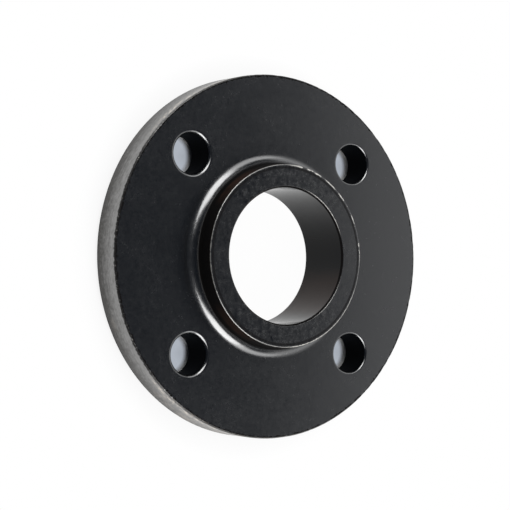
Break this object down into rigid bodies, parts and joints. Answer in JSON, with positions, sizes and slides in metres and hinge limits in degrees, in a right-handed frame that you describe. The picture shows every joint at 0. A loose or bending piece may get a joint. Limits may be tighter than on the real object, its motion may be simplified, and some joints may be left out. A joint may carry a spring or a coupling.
{
  "type": "slip-on weld flange with hub",
  "caption": "Round steel pipe flange with a short tapered hub, a smooth bore for a welded pipe, and bolt holes through its plate.",
  "frame": {"origin": "centre of the bore on the raised gasket face, on which the flange lies", "axes": "+Z along the bore axis towards the end of the hub; X and Y pass midway between the bolt holes"},
  "size_m": [0.165, 0.165, 0.029],
  "materials": {
    "black_lacquer": "semi-gloss black lacquer over turned steel, worn through to bare metal along the edges"
  },
  "bodies": {
    "root": {"flange": "black_lacquer"}
  },
  "joints": []
}
